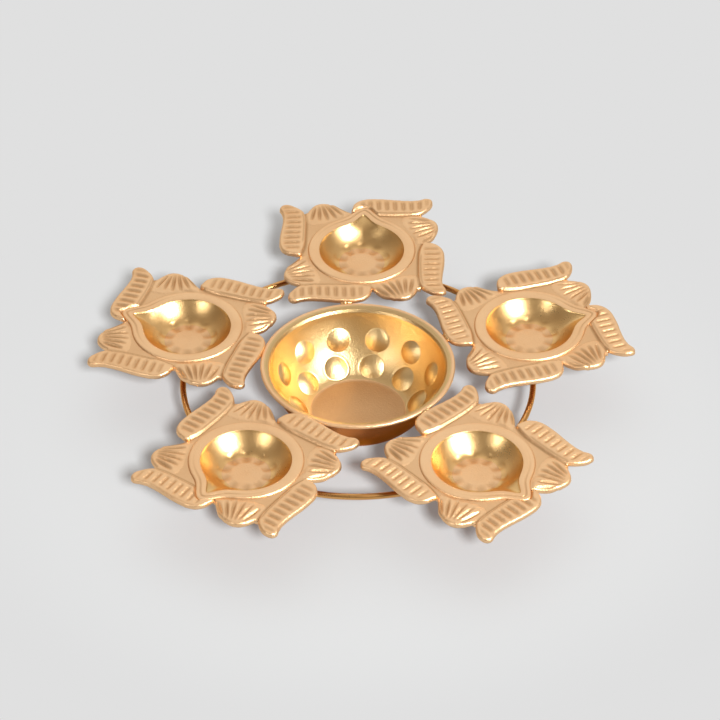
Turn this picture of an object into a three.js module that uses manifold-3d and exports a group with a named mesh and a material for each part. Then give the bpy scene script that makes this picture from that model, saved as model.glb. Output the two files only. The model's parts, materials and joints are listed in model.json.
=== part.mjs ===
// An urli with diyas: a round bowl for water and petals, ringed by five lotus-shaped lamp dishes.
// Millimetres, +Z up. The origin is the centre of the bowl's foot, on the table.
import * as THREE from "three";
import { ConvexGeometry } from "three/addons/geometries/ConvexGeometry.js";
import { mergeVertices } from "three/addons/utils/BufferGeometryUtils.js";
import Module from "manifold-3d";

// Gap between pieces that touch on the real object
const SEAT_GAP = 0.3;

// Bowl
const BOWL_HEIGHT = 36.5; // foot to the top of the lip
const BOWL_WALL = 1.5;
const FOOT_RADIUS = 28;
const FLOOR_RADIUS = 26.5; // flat floor inside
const BELLY_EXPONENT = 0.72; // 1 is a straight cone, less is rounder
const LIP_RADIUS = 55; // outer edge of the rolled lip
const LIP_WIDTH = 5;
const LIP_THICKNESS = 2.2;
const BOWL_SIDES = 40;

// Raised round bumps inside the bowl, in two rows
const BUMP_DIAMETER = 15;
const BUMP_RISE = 2.8;
const BUMP_SIDES = 10;
const BUMP_ROWS = [
  { count: 12, share: 0.55, turn: 15 }, // share of the bowl's height, and degrees round from +Y
  { count: 10, share: 0.17, turn: 22 },
];

// Lamp dishes round the bowl, each set a little unevenly by hand.
// Turn is in degrees round from +Y, and spin is how far the spout points off the radius.
const DISH_PLACES = [
  { turn: -1, spin: -0.7 },
  { turn: 71.5, spin: -1.4 },
  { turn: 143.8, spin: -1.1 },
  { turn: 217.5, spin: 2.3 },
  { turn: 288.7, spin: 0.3 },
];
const DISH_RISE = 1; // how far the petals' tops lie over the lip

// Each dish is pressed from one sheet
const SHEET = 1;
const CUP_RADIUS = 25.5;
const CUP_DEPTH = 10;
const CUP_FLOOR_RADIUS = 16;
const CUP_ROUNDNESS = 2.2; // higher keeps the wall steep for longer
const CUP_SIDES = 26;
const SPOUT_REACH = 35.5; // from the cup's axis to the tip of the spout
const SPOUT_DEPTH = 7;
const BAND_WIDTH = 5.6;
const BAND_RISE = 0.7;
const PETAL_PAIRS = 4;
const SKIRT = 3.5; // how far the petals' edges turn down
const EDGE_ROUND = 0.8;

// Feather petals, which lie across the corners of the cup
const FEATHER_REACH = 48; // from the cup's axis to the outer edge
const FEATHER_LENGTH = 50;
const FEATHER_WIDTH = 13.6;
const FEATHER_LEAD = 6.5; // how far the blunt end reaches past the cup's axis
const FEATHER_HOOK = 1.4; // how far the tip bends out past the outer edge
const RIB_COUNT = 8;
const RIB_START = 0.14; // share of the feather's length before the first rib
const RIB_SPAN = 0.74; // share of its length from the first rib to the last
const RIB_MIDDLE = 0.53; // share of its width from the cup's side to the ribs' middle
const RIB_TAPER = 0.3; // how much shorter the last rib is
const RIB_LENGTH = 8.5;
const RIB_WIDTH = 3;
const RIB_RISE = 0.5;

// Lotus petals, between the feathers
const LOTUS_REACH = 53; // from the cup's axis to the tip
const LOTUS_WIDTH = 30;
const LOTUS_TURN = 60; // from the spout's direction to the petal's axis, in degrees
const LOTUS_DROP = 0.8; // how far its top lies under the feathers
const VEIN_COUNT = 4;
const VEIN_SPREAD = 0.62; // share of the petal's width from the first vein to the last
const VEIN_END = 0.9; // share of the petal's length where a vein on its axis would end
const VEIN_ARCH = 0.55; // how much sooner, as a share of its length, one at its edge would end
const VEIN_LENGTH = 10;
const VEIN_WIDTH = 2;
const VEIN_RISE = 0.35;

// Wire ring under the cups
const WIRE_DIAMETER = 3.4;
const RING_RADIUS = 99.2; // to the middle of the wire
const WIRE_SIDES = 8;
const RING_STEPS = 54;

// Weld beads
const RIM_WELD_GAP = 2; // between the lip and the feather that is welded to it
const RIM_WELD_LENGTH = 7;
const RIM_WELD_THROAT = 4;
const RING_WELD_LENGTH = 10;
const RING_WELD_THROAT = 4;
const BEAD_SIDES = 8;

// Places that follow from the sizes
const DISH_HEIGHT = BOWL_HEIGHT + DISH_RISE;
const CUP_UNDERSIDE = DISH_HEIGHT - CUP_DEPTH - SHEET;
const RING_HEIGHT = CUP_UNDERSIDE - SEAT_GAP - WIRE_DIAMETER / 2;
const BAND_RADIUS = CUP_RADIUS + BAND_WIDTH;
const FEATHER_INNER = FEATHER_REACH - FEATHER_WIDTH;
const WEB_HALF = FEATHER_INNER + 2.2 * SHEET;
const WEB_CORNER = WEB_HALF * 0.45;
const LIP_INNER_RADIUS = LIP_RADIUS - LIP_WIDTH;
const LIP_UNDERSIDE = BOWL_HEIGHT - LIP_THICKNESS;

const wasm = await Module();
wasm.setup();

// A closed three.js geometry as a solid that can be joined and cut.
function solidOf(geometry) {
  const bare = geometry.clone();
  bare.deleteAttribute("normal");
  bare.deleteAttribute("uv");
  const merged = mergeVertices(bare, 1e-4);
  return new wasm.Manifold(
    new wasm.Mesh({
      numProp: 3,
      vertProperties: merged.attributes.position.array,
      triVerts: new Uint32Array(merged.index.array),
    }),
  );
}

// A solid as a three.js geometry.
function geometryOf(solid) {
  const mesh = solid.getMesh();
  const geometry = new THREE.BufferGeometry();
  geometry.setAttribute("position", new THREE.BufferAttribute(mesh.vertProperties, 3));
  geometry.setIndex(new THREE.BufferAttribute(mesh.triVerts, 1));
  geometry.computeVertexNormals();
  return geometry;
}

const joined = (solids) => solids.reduce((whole, solid) => whole.add(solid));

const radians = THREE.MathUtils.degToRad;

// Points of an arc about (x, y), from one angle to another in degrees.
function arc(x, y, radius, from, to, steps) {
  const curve = new THREE.EllipseCurve(x, y, radius, radius, radians(from), radians(to), to < from);
  return curve.getPoints(steps);
}

// A profile of (radius, height) points turned about the Z axis.
function turned(profile, sides) {
  return new THREE.LatheGeometry(profile, sides).rotateX(Math.PI / 2);
}

// A smooth closed outline through a few points, evenly stepped.
function smoothOutline(points, steps) {
  const spots = points.map(([x, y]) => new THREE.Vector3(x, y, 0));
  const curve = new THREE.CatmullRomCurve3(spots, true, "centripetal");
  return curve.getSpacedPoints(steps).slice(0, -1).map((p) => new THREE.Vector2(p.x, p.y));
}

// An outline moved outwards by a distance, or inwards where the distance is negative.
function grown(outline, distance) {
  const count = outline.length;
  return outline.map((point, i) => {
    const before = outline[(i + count - 1) % count];
    const after = outline[(i + 1) % count];
    const along = after.clone().sub(before).normalize();
    return new THREE.Vector2(point.x + along.y * distance, point.y - along.x * distance);
  });
}

// An outline extruded from one height to another, with its upper edge chamfered.
function slab(outline, bottom, top, chamfer = 0) {
  const geometry = new THREE.ExtrudeGeometry(new THREE.Shape(outline), {
    depth: top - bottom - 2 * chamfer,
    bevelEnabled: chamfer > 0,
    bevelThickness: chamfer,
    bevelSize: chamfer,
    bevelOffset: -chamfer,
    bevelSegments: 1,
  });
  return geometry.translate(0, 0, bottom + chamfer);
}

function box(width, depth, bottom, top) {
  return new THREE.BoxGeometry(width, depth, top - bottom).translate(0, 0, (top + bottom) / 2);
}

// Radius of the bowl's outer wall at a height.
function bowlRadius(height) {
  const rise = LIP_INNER_RADIUS + BOWL_WALL - FOOT_RADIUS;
  return FOOT_RADIUS + rise * (height / LIP_UNDERSIDE) ** BELLY_EXPONENT;
}

// Direction of the bowl's outer wall at a height, as a unit vector pointing up along it.
function bowlSlope(height) {
  const step = LIP_UNDERSIDE / 200;
  const low = bowlRadius(Math.max(height - step, 0));
  return new THREE.Vector2(bowlRadius(height + step) - low, 2 * step).normalize();
}

// Point on the bowl's inner wall, square in from the outer wall at a height.
function innerWallPoint(height) {
  const slope = bowlSlope(height);
  const radius = bowlRadius(height) - slope.y * BOWL_WALL;
  return new THREE.Vector2(radius, height + slope.x * BOWL_WALL);
}

// Heights along the wall, closer together near the foot where it curves most.
function wallHeights(steps) {
  const crowding = 1.6;
  return Array.from({ length: steps + 1 }, (_, i) => LIP_UNDERSIDE * (i / steps) ** crowding);
}

function bowlShell() {
  const edge = LIP_THICKNESS / 2;
  const outside = wallHeights(6).map((height) => new THREE.Vector2(bowlRadius(height), height));
  const lipEdge = arc(LIP_RADIUS - edge, BOWL_HEIGHT - edge, edge, -90, 90, 4);
  const inside = wallHeights(6)
    .filter((height) => height > 0)
    .map(innerWallPoint)
    .filter((point) => point.y > BOWL_WALL * 1.5 && point.y < LIP_UNDERSIDE)
    .reverse();
  const profile = [
    new THREE.Vector2(0, 0),
    ...outside,
    ...lipEdge,
    new THREE.Vector2(LIP_INNER_RADIUS, BOWL_HEIGHT),
    ...inside,
    new THREE.Vector2(FLOOR_RADIUS, BOWL_WALL),
    new THREE.Vector2(0, BOWL_WALL),
  ];
  return solidOf(turned(profile, BOWL_SIDES));
}

// One bump as a low dome on a flat base, its top pointing up Z.
function bumpDome() {
  const half = BUMP_DIAMETER / 2;
  const sunk = BOWL_WALL / 3;
  const sphere = (half * half + BUMP_RISE * BUMP_RISE) / (2 * BUMP_RISE);
  const spread = THREE.MathUtils.radToDeg(Math.asin(half / sphere));
  const crown = arc(0, BUMP_RISE - sphere, sphere, 90 - spread, 90, 2);
  crown[crown.length - 1].x = 0;
  const base = [new THREE.Vector2(0, -sunk), new THREE.Vector2(half, -sunk)];
  return turned([...base, ...crown], BUMP_SIDES);
}

function bowlGeometry() {
  const bumps = BUMP_ROWS.flatMap(({ count, share, turn }) => {
    const spot = innerWallPoint(BOWL_HEIGHT * share);
    const slope = bowlSlope(BOWL_HEIGHT * share);
    const lean = Math.atan2(slope.y, slope.x);
    return Array.from({ length: count }, (_, i) => {
      const dome = bumpDome().rotateX(lean).translate(0, spot.x, spot.y);
      return solidOf(dome.rotateZ(radians(turn + (360 * i) / count)));
    });
  });
  return geometryOf(joined([bowlShell(), ...bumps]));
}

// The outline of a round cup drawn out to a point on +Y.
function teardrop(radius, reach, sides) {
  const open = THREE.MathUtils.radToDeg(Math.acos(radius / reach));
  const round = arc(0, 0, radius, 90 + open, 450 - open, sides);
  return [...round, new THREE.Vector2(0, reach)];
}

// Radius of the cup's wall at a depth under its opening: steep at the top and round into the floor.
function cupRadius(depth) {
  const share = Math.min(depth / CUP_DEPTH, 1);
  return CUP_FLOOR_RADIUS + (CUP_RADIUS - CUP_FLOOR_RADIUS) * Math.sqrt(1 - share ** CUP_ROUNDNESS);
}

// The cup's hollow, from a height over its opening down to its floor, made larger by a thickness.
function cupBody(top, extra) {
  const steps = [0, 0.5, 0.85, 1];
  const wall = steps.map((share) => {
    const depth = CUP_DEPTH * share;
    return new THREE.Vector2(cupRadius(depth) + extra * (1 - share / 2), -depth - extra * share);
  });
  const profile = [
    new THREE.Vector2(0, top),
    new THREE.Vector2(CUP_RADIUS + extra, top),
    ...wall,
    new THREE.Vector2(0, -CUP_DEPTH - extra),
  ];
  return solidOf(turned(profile.reverse(), CUP_SIDES));
}

// The spout's hollow, a keel from its tip down into the cup, made larger by a thickness.
function spoutBody(top, extra) {
  const reach = SPOUT_REACH + extra;
  const radius = CUP_RADIUS + extra;
  const spread = Math.acos(radius / reach);
  const side = new THREE.Vector2(radius * Math.sin(spread), radius * Math.cos(spread));
  const keel = -SPOUT_DEPTH - extra;
  const keelFoot = cupRadius(SPOUT_DEPTH) + extra;
  const points = [0, top].flatMap((height) => [
    new THREE.Vector3(0, reach, height),
    new THREE.Vector3(side.x, side.y, height),
    new THREE.Vector3(-side.x, side.y, height),
    new THREE.Vector3(0, 0, height),
  ]);
  points.push(new THREE.Vector3(0, keelFoot, keel));
  points.push(new THREE.Vector3(side.x / 2, keelFoot * Math.cos(spread / 2), keel));
  points.push(new THREE.Vector3(-side.x / 2, keelFoot * Math.cos(spread / 2), keel));
  points.push(new THREE.Vector3(0, 0, keel));
  return solidOf(new ConvexGeometry(points));
}

// The outline of the feather petal that starts beside the spout and runs off to +X.
// Shares are along its length from the blunt end, and across its width from the cup.
function featherOutline() {
  const hook = 1 + FEATHER_HOOK / FEATHER_WIDTH;
  const shares = [
    [0.03, 0.1],
    [0, 0.42],
    [0.07, 0.8],
    [0.24, 1],
    [0.48, 0.94],
    [0.68, 0.87],
    [0.82, 0.95],
    [0.94, hook],
    [1, 0.93],
    [0.97, 0.62],
    [0.87, 0.24],
    [0.7, 0.06],
    [0.35, 0],
  ];
  const along = (u) => FEATHER_LENGTH * u - FEATHER_LEAD;
  const across = (v) => FEATHER_INNER + FEATHER_WIDTH * v;
  return smoothOutline(shares.map(([u, v]) => [along(u), across(v)]).reverse(), 18);
}

// The outline of a lotus petal, its axis on +Y.
function lotusOutline() {
  const root = CUP_RADIUS;
  const half = LOTUS_WIDTH / 2;
  const length = LOTUS_REACH - root;
  const shares = [
    [-0.8, 0],
    [0.8, 0],
    [1, 0.34],
    [0.82, 0.66],
    [0.44, 0.88],
    [0, 1],
    [-0.44, 0.88],
    [-0.82, 0.66],
    [-1, 0.34],
  ];
  return smoothOutline(shares.map(([u, v]) => [half * u, root + length * v]), 12);
}

// A petal as a cap with a turned-down edge all round, hollow underneath.
function petalCap(outline, top, bottom) {
  const skin = solidOf(slab(outline, bottom - EDGE_ROUND, top, EDGE_ROUND));
  const pocket = solidOf(slab(grown(outline, -SHEET), bottom - 2 * EDGE_ROUND, top - SHEET));
  return { skin, pocket };
}

// A low ridge of a given length along Y, with a roof-shaped section.
function ridge(length, width, rise) {
  const bar = new THREE.CylinderGeometry(width / 2, width / 2, length, 4);
  return bar.scale(1, 1, (2 * rise) / width);
}

// The ribs across a feather, from its blunt end to its tip.
function featherRibs() {
  const y = FEATHER_INNER + FEATHER_WIDTH * RIB_MIDDLE;
  return Array.from({ length: RIB_COUNT }, (_, i) => {
    const share = i / (RIB_COUNT - 1);
    const length = RIB_LENGTH * (1 - RIB_TAPER * share);
    const x = FEATHER_LENGTH * (RIB_START + RIB_SPAN * share) - FEATHER_LEAD;
    return solidOf(ridge(length, RIB_WIDTH, RIB_RISE).translate(x, y, 0));
  });
}

// The veins of a lotus petal, spread like a fan from the cup, the outer ones set back along its round tip.
function lotusVeins() {
  const half = LOTUS_WIDTH / 2;
  const gap = (LOTUS_WIDTH * VEIN_SPREAD) / (VEIN_COUNT - 1);
  return Array.from({ length: VEIN_COUNT }, (_, i) => {
    const x = gap * (i - (VEIN_COUNT - 1) / 2);
    const lean = Math.atan2(x, LOTUS_REACH);
    const end = VEIN_END - VEIN_ARCH * (x / half) ** 2;
    const y = CUP_RADIUS + (LOTUS_REACH - CUP_RADIUS) * end - VEIN_LENGTH / 2;
    const bar = ridge(VEIN_LENGTH, VEIN_WIDTH, VEIN_RISE).rotateZ(-lean);
    return solidOf(bar.translate(x, y, -LOTUS_DROP));
  });
}

// Everything of one petal pair, turned to its place round the cup.
function petalPair(turn) {
  const feather = petalCap(featherOutline(), 0, -SKIRT);
  const lotus = petalCap(lotusOutline(), -LOTUS_DROP, -SKIRT);
  const around = (solid, angle) => solid.rotate([0, 0, angle]);
  return {
    skins: [
      ...[feather.skin, ...featherRibs()].map((solid) => around(solid, turn)),
      ...[lotus.skin, ...lotusVeins()].map((solid) => around(solid, turn - LOTUS_TURN)),
    ],
    pockets: [around(feather.pocket, turn), around(lotus.pocket, turn - LOTUS_TURN)],
  };
}

// The sheet between the petals and the cup: a square with cut corners, under the feathers' inner edges.
function web() {
  const side = WEB_HALF - WEB_CORNER;
  const middle = new THREE.Vector2();
  const turns = Array.from({ length: PETAL_PAIRS }, (_, i) => radians((360 * i) / PETAL_PAIRS));
  const outline = turns.flatMap((turn) => [
    new THREE.Vector2(WEB_HALF, -side).rotateAround(middle, turn),
    new THREE.Vector2(WEB_HALF, side).rotateAround(middle, turn),
  ]);
  return {
    skin: solidOf(slab(outline, -SKIRT, -LOTUS_DROP)),
    pocket: solidOf(slab(outline, -2 * SKIRT, -LOTUS_DROP - SHEET)),
  };
}

// One lamp dish, its cup's axis on Z, its spout on +Y and its petals' tops at height 0.
function dishGeometry() {
  const pairs = Array.from({ length: PETAL_PAIRS }, (_, i) => petalPair((360 * i) / PETAL_PAIRS));
  const middle = web();
  const bandOutline = teardrop(BAND_RADIUS, SPOUT_REACH + BAND_WIDTH, CUP_SIDES);
  const band = solidOf(slab(bandOutline, -SHEET, BAND_RISE));
  const floorCut = solidOf(box(4 * LOTUS_REACH, 4 * LOTUS_REACH, -4 * SKIRT, -SKIRT));
  const skins = joined([middle.skin, ...pairs.flatMap((pair) => pair.skins)]).subtract(floorCut);
  const pockets = joined([middle.pocket, ...pairs.flatMap((pair) => pair.pockets)]);
  const shell = joined([
    skins.subtract(pockets),
    band,
    cupBody(BAND_RISE, SHEET),
    spoutBody(BAND_RISE, SHEET),
  ]);
  const opening = BAND_RISE + 2 * SHEET;
  return geometryOf(shell.subtract(cupBody(opening, 0)).subtract(spoutBody(opening, 0)));
}

function ringGeometry(wire) {
  return new THREE.TorusGeometry(RING_RADIUS, wire / 2, WIRE_SIDES, RING_STEPS);
}

// An egg-shaped lump of weld metal.
function bead(length, width, height) {
  return new THREE.SphereGeometry(0.5, BEAD_SIDES, 6).scale(length, width, height);
}

// Where a dish sits: its cup's axis and the spot where its inner feather comes closest to the lip.
// In a frame with the bowl's axis at the origin and the dish out along +Y.
function dishSeat(spin) {
  const touch = LIP_RADIUS + RIM_WELD_GAP;
  const edge = featherOutline().map((p) => p.rotateAround(new THREE.Vector2(), radians(180 + spin)));
  const near = edge.filter((p) => Math.abs(p.x) < touch);
  const reach = (p) => Math.sqrt(touch * touch - p.x * p.x) - p.y;
  const spot = near.reduce((best, p) => (reach(p) > reach(best) ? p : best));
  return { radius: reach(spot), x: spot.x, y: reach(spot) + spot.y };
}

// The weld between the lip and the feather that faces the bowl.
function rimWeldGeometry(spin) {
  const seat = dishSeat(spin);
  const middle = BOWL_HEIGHT - LIP_THICKNESS / 2;
  const reach = LIP_THICKNESS / 2 + SEAT_GAP;
  const lipProfile = [
    new THREE.Vector2(LIP_INNER_RADIUS, middle - reach),
    ...arc(LIP_RADIUS - LIP_THICKNESS / 2, middle, reach, -90, 90, 8),
    new THREE.Vector2(LIP_INNER_RADIUS, middle + reach),
    new THREE.Vector2(LIP_INNER_RADIUS, middle - reach),
  ];
  const lip = solidOf(turned(lipProfile, 2 * BOWL_SIDES));
  const outline = grown(featherOutline(), SEAT_GAP);
  const cap = solidOf(slab(outline, -SKIRT - EDGE_ROUND, SEAT_GAP, EDGE_ROUND));
  const feather = cap.rotate([0, 0, 180 + spin]).translate([0, seat.radius, DISH_HEIGHT]);
  const lump = bead(RIM_WELD_LENGTH, RIM_WELD_THROAT, RIM_WELD_THROAT);
  const out = 1 - RIM_WELD_GAP / 2 / (LIP_RADIUS + RIM_WELD_GAP);
  lump.rotateZ(-Math.atan2(seat.x, seat.y)).translate(seat.x * out, seat.y * out, middle);
  return geometryOf(solidOf(lump).subtract(lip).subtract(feather));
}

// The weld in the corner between the ring and a cup's underside.
function ringWeldGeometry() {
  const wire = solidOf(ringGeometry(WIRE_DIAMETER + 2 * SEAT_GAP).translate(0, 0, RING_HEIGHT));
  const top = CUP_UNDERSIDE - SEAT_GAP;
  const cup = solidOf(box(2 * RING_RADIUS, 3 * RING_RADIUS, top, top + CUP_DEPTH));
  const lump = bead(RING_WELD_LENGTH, RING_WELD_THROAT, RING_WELD_THROAT);
  lump.translate(0, RING_RADIUS - WIRE_DIAMETER / 2, top - RING_WELD_THROAT / 4);
  return geometryOf(solidOf(lump).subtract(wire).subtract(cup));
}

const goldInside = new THREE.MeshStandardMaterial({ color: 0xd9a55a, roughness: 0.3, metalness: 1 });
const goldSatin = new THREE.MeshStandardMaterial({ color: 0xdcb183, roughness: 0.45, metalness: 1 });
const copperWire = new THREE.MeshStandardMaterial({ color: 0xa8683a, roughness: 0.35, metalness: 1 });
const weldMetal = new THREE.MeshStandardMaterial({ color: 0xc99763, roughness: 0.4, metalness: 1 });

function named(name, geometry, material) {
  const mesh = new THREE.Mesh(geometry, material);
  mesh.name = name;
  return mesh;
}

// The bowl and the ring stand alone; each dish and its welds share a group that is turned about the bowl.
function assembly() {
  const whole = new THREE.Group();
  whole.add(named("bowl", bowlGeometry(), goldInside.clone()));
  const ring = named("ring", ringGeometry(WIRE_DIAMETER), copperWire.clone());
  ring.position.z = RING_HEIGHT;
  whole.add(ring);
  const pressed = dishGeometry();
  const ringWeld = ringWeldGeometry();
  DISH_PLACES.forEach(({ turn, spin }, i) => {
    const dish = named(`diya_${i + 1}`, pressed, goldSatin.clone());
    dish.position.set(0, dishSeat(spin).radius, DISH_HEIGHT);
    dish.rotation.z = radians(spin);
    const arm = new THREE.Group();
    arm.rotation.z = radians(turn);
    arm.add(dish);
    arm.add(named(`rim_weld_${i + 1}`, rimWeldGeometry(spin), weldMetal.clone()));
    arm.add(named(`ring_weld_${i + 1}`, ringWeld, weldMetal.clone()));
    whole.add(arm);
  });
  return whole;
}

const urli = assembly();
export default urli;
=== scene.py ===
"""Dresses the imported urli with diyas: a spun bowl ringed by five pressed lamp dishes.

Lengths inside the classes are in millimetres, as on a maker's drawing, and they become metres
when a mesh is made. Every dish is pressed in the same tool, so the five share one mesh.
"""

import json
import logging
import math
from collections.abc import Mapping, Sequence
from dataclasses import dataclass
from enum import Enum

import bpy
import numpy as np
from mathutils import Matrix, Vector


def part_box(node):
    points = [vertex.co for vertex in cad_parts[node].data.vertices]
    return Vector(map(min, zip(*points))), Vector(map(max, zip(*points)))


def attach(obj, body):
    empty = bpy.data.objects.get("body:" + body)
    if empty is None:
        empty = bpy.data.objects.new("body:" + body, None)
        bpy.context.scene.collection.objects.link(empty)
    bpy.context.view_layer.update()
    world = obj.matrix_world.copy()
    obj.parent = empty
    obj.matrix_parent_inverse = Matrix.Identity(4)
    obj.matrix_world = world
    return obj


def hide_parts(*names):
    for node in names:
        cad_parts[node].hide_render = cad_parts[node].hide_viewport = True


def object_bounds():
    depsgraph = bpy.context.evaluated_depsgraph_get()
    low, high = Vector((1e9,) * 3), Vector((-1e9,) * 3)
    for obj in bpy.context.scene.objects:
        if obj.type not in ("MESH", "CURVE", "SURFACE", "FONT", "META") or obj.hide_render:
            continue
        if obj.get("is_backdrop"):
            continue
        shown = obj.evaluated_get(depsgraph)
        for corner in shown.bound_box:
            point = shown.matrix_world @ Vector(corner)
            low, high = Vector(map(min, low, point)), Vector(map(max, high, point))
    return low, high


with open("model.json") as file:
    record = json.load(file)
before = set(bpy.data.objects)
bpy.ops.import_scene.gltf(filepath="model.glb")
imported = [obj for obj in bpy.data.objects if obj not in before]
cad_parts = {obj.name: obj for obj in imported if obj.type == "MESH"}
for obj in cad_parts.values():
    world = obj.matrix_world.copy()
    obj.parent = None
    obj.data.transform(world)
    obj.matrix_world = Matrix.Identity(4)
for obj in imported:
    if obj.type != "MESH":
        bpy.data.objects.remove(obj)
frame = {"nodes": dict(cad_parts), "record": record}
CAD_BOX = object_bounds()

MM = 0.001
ROOT = "root"
LOG = logging.getLogger("urli")

Face = tuple[int, ...]
Point = tuple[float, float]
Span = tuple[float, float, float, float]
Triple = tuple[float, float, float]
Fields = tuple[np.ndarray, np.ndarray]
Socket = bpy.types.NodeSocket
Inputs = Mapping[str | int, float | tuple[float, ...] | Socket]


class Surface(Enum):
    """Which finish a face of a piece takes, as the number of its material slot."""

    SATIN = 0
    POLISHED = 1
    UNDERSIDE = 2


# Shapes in the plane


def smoothstep(value: np.ndarray, low: float, high: float) -> np.ndarray:
    """Runs smoothly from 0 at low to 1 at high."""
    share = np.clip((value - low) / (high - low), 0.0, 1.0)
    return share * share * (3.0 - 2.0 * share)


def plateau(value: np.ndarray, span: Span) -> np.ndarray:
    """Rises smoothly from 0 to 1 between a span's first two values, and falls between the others."""
    return smoothstep(value, span[0], span[1]) * (1.0 - smoothstep(value, span[2], span[3]))


def bell(value: np.ndarray, width: float) -> np.ndarray:
    """Gives a smooth hump of height 1 about 0, down to about a third at its width."""
    return np.exp(-((value / width) ** 2))


def spline(knots: Sequence[np.ndarray], share: float) -> np.ndarray:
    """Draws a smooth curve from the second of four knots to the third.

    Args:
        knots: Four points in a row, or four arrays of points.
        share: How far along the curve to go, from 0 to 1.

    Returns:
        The point there, or an array of them.
    """
    before, start, end, after = knots
    bend = (2 * before - 5 * start + 4 * end - after) * share**2
    twist = (3 * start - before - 3 * end + after) * share**3
    return 0.5 * (2 * start + (end - before) * share + bend + twist)


def closed_curve(knots: Sequence[Point], steps: int = 8) -> np.ndarray:
    """Draws a smooth closed curve through a few points.

    Args:
        knots: Points that the curve passes through, in order.
        steps: Points made for each stretch between two of them.

    Returns:
        The curve as an array of points.
    """
    points = np.asarray(knots, float)
    around = [np.roll(points, shift, axis=0) for shift in (1, 0, -1, -2)]
    made = [spline(around, share) for share in np.arange(steps) / steps]
    return np.stack(made, axis=1).reshape(-1, 2)


def open_curve(knots: Sequence[Point], steps: int) -> np.ndarray:
    """Draws a smooth curve through a few points, from the first to the last.

    Args:
        knots: Points that the curve passes through, in order.
        steps: Points made for each stretch between two of them.

    Returns:
        The curve as an array of points.
    """
    points = np.asarray(knots, float)
    ends = np.vstack([2 * points[0] - points[1], points, 2 * points[-1] - points[-2]])
    shares = np.arange(steps) / steps
    made = [spline(ends[i : i + 4], share) for i in range(len(points) - 1) for share in shares]
    return np.array([*made, points[-1]])


def inside_distance(outline: np.ndarray, x: np.ndarray, y: np.ndarray) -> np.ndarray:
    """Measures how far points lie inside a closed outline.

    Args:
        outline: The outline's corners, as an array of (x, y).
        x: The points' x.
        y: The points' y.

    Returns:
        The distance to the outline, above 0 inside it and below 0 outside.
    """
    nearest = np.full(x.shape, np.inf)
    inside = np.zeros(x.shape, bool)
    for (ax, ay), (bx, by) in zip(outline, np.roll(outline, -1, axis=0)):
        dx, dy = bx - ax, by - ay
        share = np.clip(((x - ax) * dx + (y - ay) * dy) / (dx * dx + dy * dy), 0.0, 1.0)
        nearest = np.minimum(nearest, (x - ax - share * dx) ** 2 + (y - ay - share * dy) ** 2)
        if ay != by:
            crosses = (ay > y) != (by > y)
            inside ^= crosses & (x < ax + dx * (y - ay) / dy)
    distance = np.sqrt(nearest)
    return np.where(inside, distance, -distance)


def soft_union(first: np.ndarray, second: np.ndarray, blend: float) -> np.ndarray:
    """Joins two inside distances, with a fillet of the blend's size where the shapes meet."""
    near = np.clip(blend - np.abs(first - second), 0.0, None) / blend
    return np.maximum(first, second) + near * near * blend / 4.0


def turned(x: np.ndarray, y: np.ndarray, degrees: float) -> Fields:
    """Turns points about the origin, from +X towards +Y."""
    cosine, sine = math.cos(math.radians(degrees)), math.sin(math.radians(degrees))
    return cosine * x - sine * y, sine * x + cosine * y


# Meshes


@dataclass
class Shell:
    """Points, faces and finishes of a piece, gathered before its mesh is made."""

    points: np.ndarray
    faces: list[Face]
    surfaces: list[Surface]
    # How much painted shade each point takes, from 0 to 1.
    painted_shade: np.ndarray

    def joined(self, other: "Shell") -> "Shell":
        """Gives this shell and another as one."""
        offset = len(self.points)
        return Shell(
            np.vstack([self.points, other.points]),
            self.faces + [tuple(i + offset for i in face) for face in other.faces],
            self.surfaces + other.surfaces,
            np.concatenate([self.painted_shade, other.painted_shade]),
        )

    def mesh(self, name: str) -> bpy.types.Mesh:
        """Makes the shell's mesh, in metres.

        Args:
            name: The mesh's name.

        Returns:
            The mesh, smooth shaded, with the painted shade kept at its points.
        """
        mesh = bpy.data.meshes.new(name)
        mesh.from_pydata((self.points * MM).tolist(), [], self.faces)
        mesh.polygons.foreach_set("material_index", [surface.value for surface in self.surfaces])
        mesh.polygons.foreach_set("use_smooth", [True] * len(self.faces))
        attribute = mesh.attributes.new("painted_shade", "FLOAT", "POINT")
        attribute.data.foreach_set("value", self.painted_shade.astype(np.float32))
        mesh.update()
        return mesh


def lofted(rings: Sequence[np.ndarray], surfaces: Sequence[Surface], painted_shade: Sequence[np.ndarray]) -> Shell:
    """Joins closed rings of equal length into a skin that faces up when they run inwards.

    Args:
        rings: Rings of points, from the outermost to the innermost.
        surfaces: Finish of each band between two rings.
        painted_shade: How much painted shade each ring's points take, from 0 to 1.

    Returns:
        The skin, its last ring filled with a fan.
    """
    count = len(rings[0])
    sides = [(j, (j + 1) % count) for j in range(count)]
    faces: list[Face] = []
    for low in range(0, len(surfaces) * count, count):
        faces += [(low + a, low + b, low + count + b, low + count + a) for a, b in sides]
    last, middle = (len(rings) - 1) * count, len(rings) * count
    faces += [(last + a, last + b, middle) for a, b in sides]
    made = [surface for surface in (*surfaces, surfaces[-1]) for _ in sides]
    points = np.vstack([*rings, rings[-1].mean(axis=0, keepdims=True)])
    depth = np.concatenate([*painted_shade, [painted_shade[-1].mean()]])
    return Shell(points, faces, made, depth)


def open_edges(faces: Sequence[Face]) -> np.ndarray:
    """Finds the edges that only one face uses.

    Args:
        faces: The faces of a skin.

    Returns:
        The edges as an array of (first, second) points, in their face's order.
    """
    found: dict[tuple[int, int], tuple[int, int]] = {}
    for face in faces:
        for a, b in zip(face, face[1:] + face[:1]):
            key = (min(a, b), max(a, b))
            if key in found:
                del found[key]
            else:
                found[key] = (a, b)
    return np.array(list(found.values()))


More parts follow.
